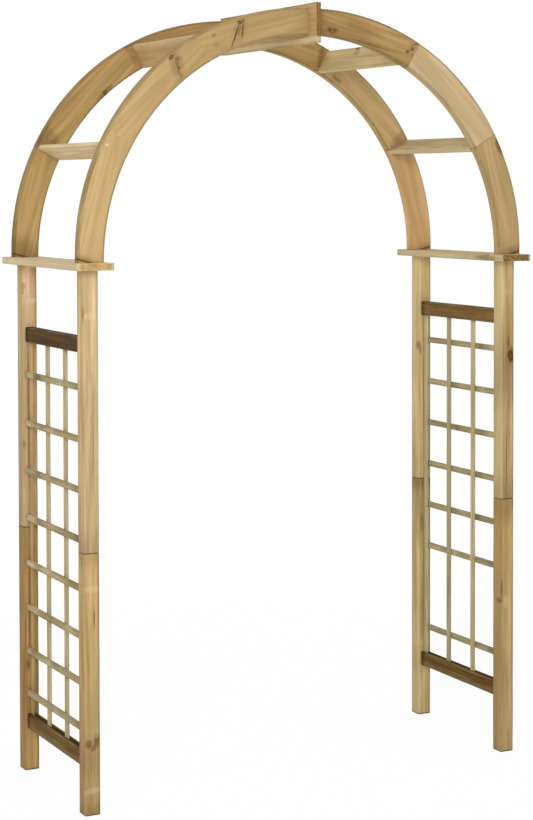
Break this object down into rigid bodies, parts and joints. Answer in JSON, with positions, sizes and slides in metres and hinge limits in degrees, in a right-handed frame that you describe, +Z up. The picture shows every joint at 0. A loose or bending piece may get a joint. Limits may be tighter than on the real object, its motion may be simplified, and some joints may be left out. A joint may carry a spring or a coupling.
{
  "type": "garden arch",
  "caption": "Walk-through wooden garden arch with a round segmented top, cap boards on square posts and open trellis sides for climbing plants.",
  "frame": {"origin": "on the ground, at the centre of the four feet", "axes": "+Z up, +X across the passage to the right seen from the front, +Y from the front to the back"},
  "size_m": [1.436, 0.62, 2.2],
  "materials": {
    "posts": "planed impregnated pine, square with rounded edges",
    "caps": "planed impregnated pine board, slightly greyed",
    "rings": "planed impregnated pine, sawn to a curve",
    "rungs": "planed impregnated pine board, greenish grey",
    "ridge": "planed impregnated pine board",
    "rails": "brown-stained pine",
    "laths": "sawn impregnated pine lath",
    "joinery": "plain beech dowel and tongue"
  },
  "bodies": {
    "root": {"arch_tongues": "joinery", "cap_left": "caps", "cap_right": "caps", "cross_lath_left_1": "laths", "cross_lath_left_2": "laths", "cross_lath_left_3": "laths", "cross_lath_left_4": "laths", "cross_lath_left_5": "laths", "cross_lath_left_6": "laths", "cross_lath_left_7": "laths", "cross_lath_left_8": "laths", "cross_lath_right_1": "laths", "cross_lath_right_3": "laths", "cross_lath_right_4": "laths", "cross_lath_right_5": "laths", "cross_lath_right_6": "laths", "cross_lath_right_7": "laths", "cross_lath_right_8": "laths", "post_dowels": "joinery", "post_front_left_lower": "posts", "post_front_left_upper": "posts", "post_front_right_lower": "posts", "post_front_right_upper": "posts", "post_rear_left_lower": "posts", "post_rear_left_upper": "posts", "post_rear_right_lower": "posts", "post_rear_right_upper": "posts", "rail_left_bottom": "rails", "rail_left_top": "rails", "rail_right_bottom": "rails", "rail_right_top": "rails", "rail_tongues": "joinery", "ridge_board": "ridge", "ring_front_left_crown": "rings", "ring_front_left_foot": "rings", "ring_front_left_shoulder": "rings", "ring_front_right_crown": "rings", "ring_front_right_foot": "rings", "ring_front_right_shoulder": "rings", "ring_rear_left_crown": "rings", "ring_rear_left_foot": "rings", "ring_rear_left_shoulder": "rings", "ring_rear_right_crown": "rings", "ring_rear_right_foot": "rings", "ring_rear_right_shoulder": "rings", "rung_left_lower": "rungs", "rung_left_upper": "rungs", "rung_pegs": "joinery", "rung_right_lower": "rungs", "rung_right_upper": "rungs", "upright_left_1": "laths", "upright_left_2": "laths", "upright_left_3": "laths", "upright_left_4": "laths", "upright_right_1": "laths", "upright_right_2": "laths", "upright_right_3": "laths", "upright_right_4": "laths"}
  },
  "joints": []
}
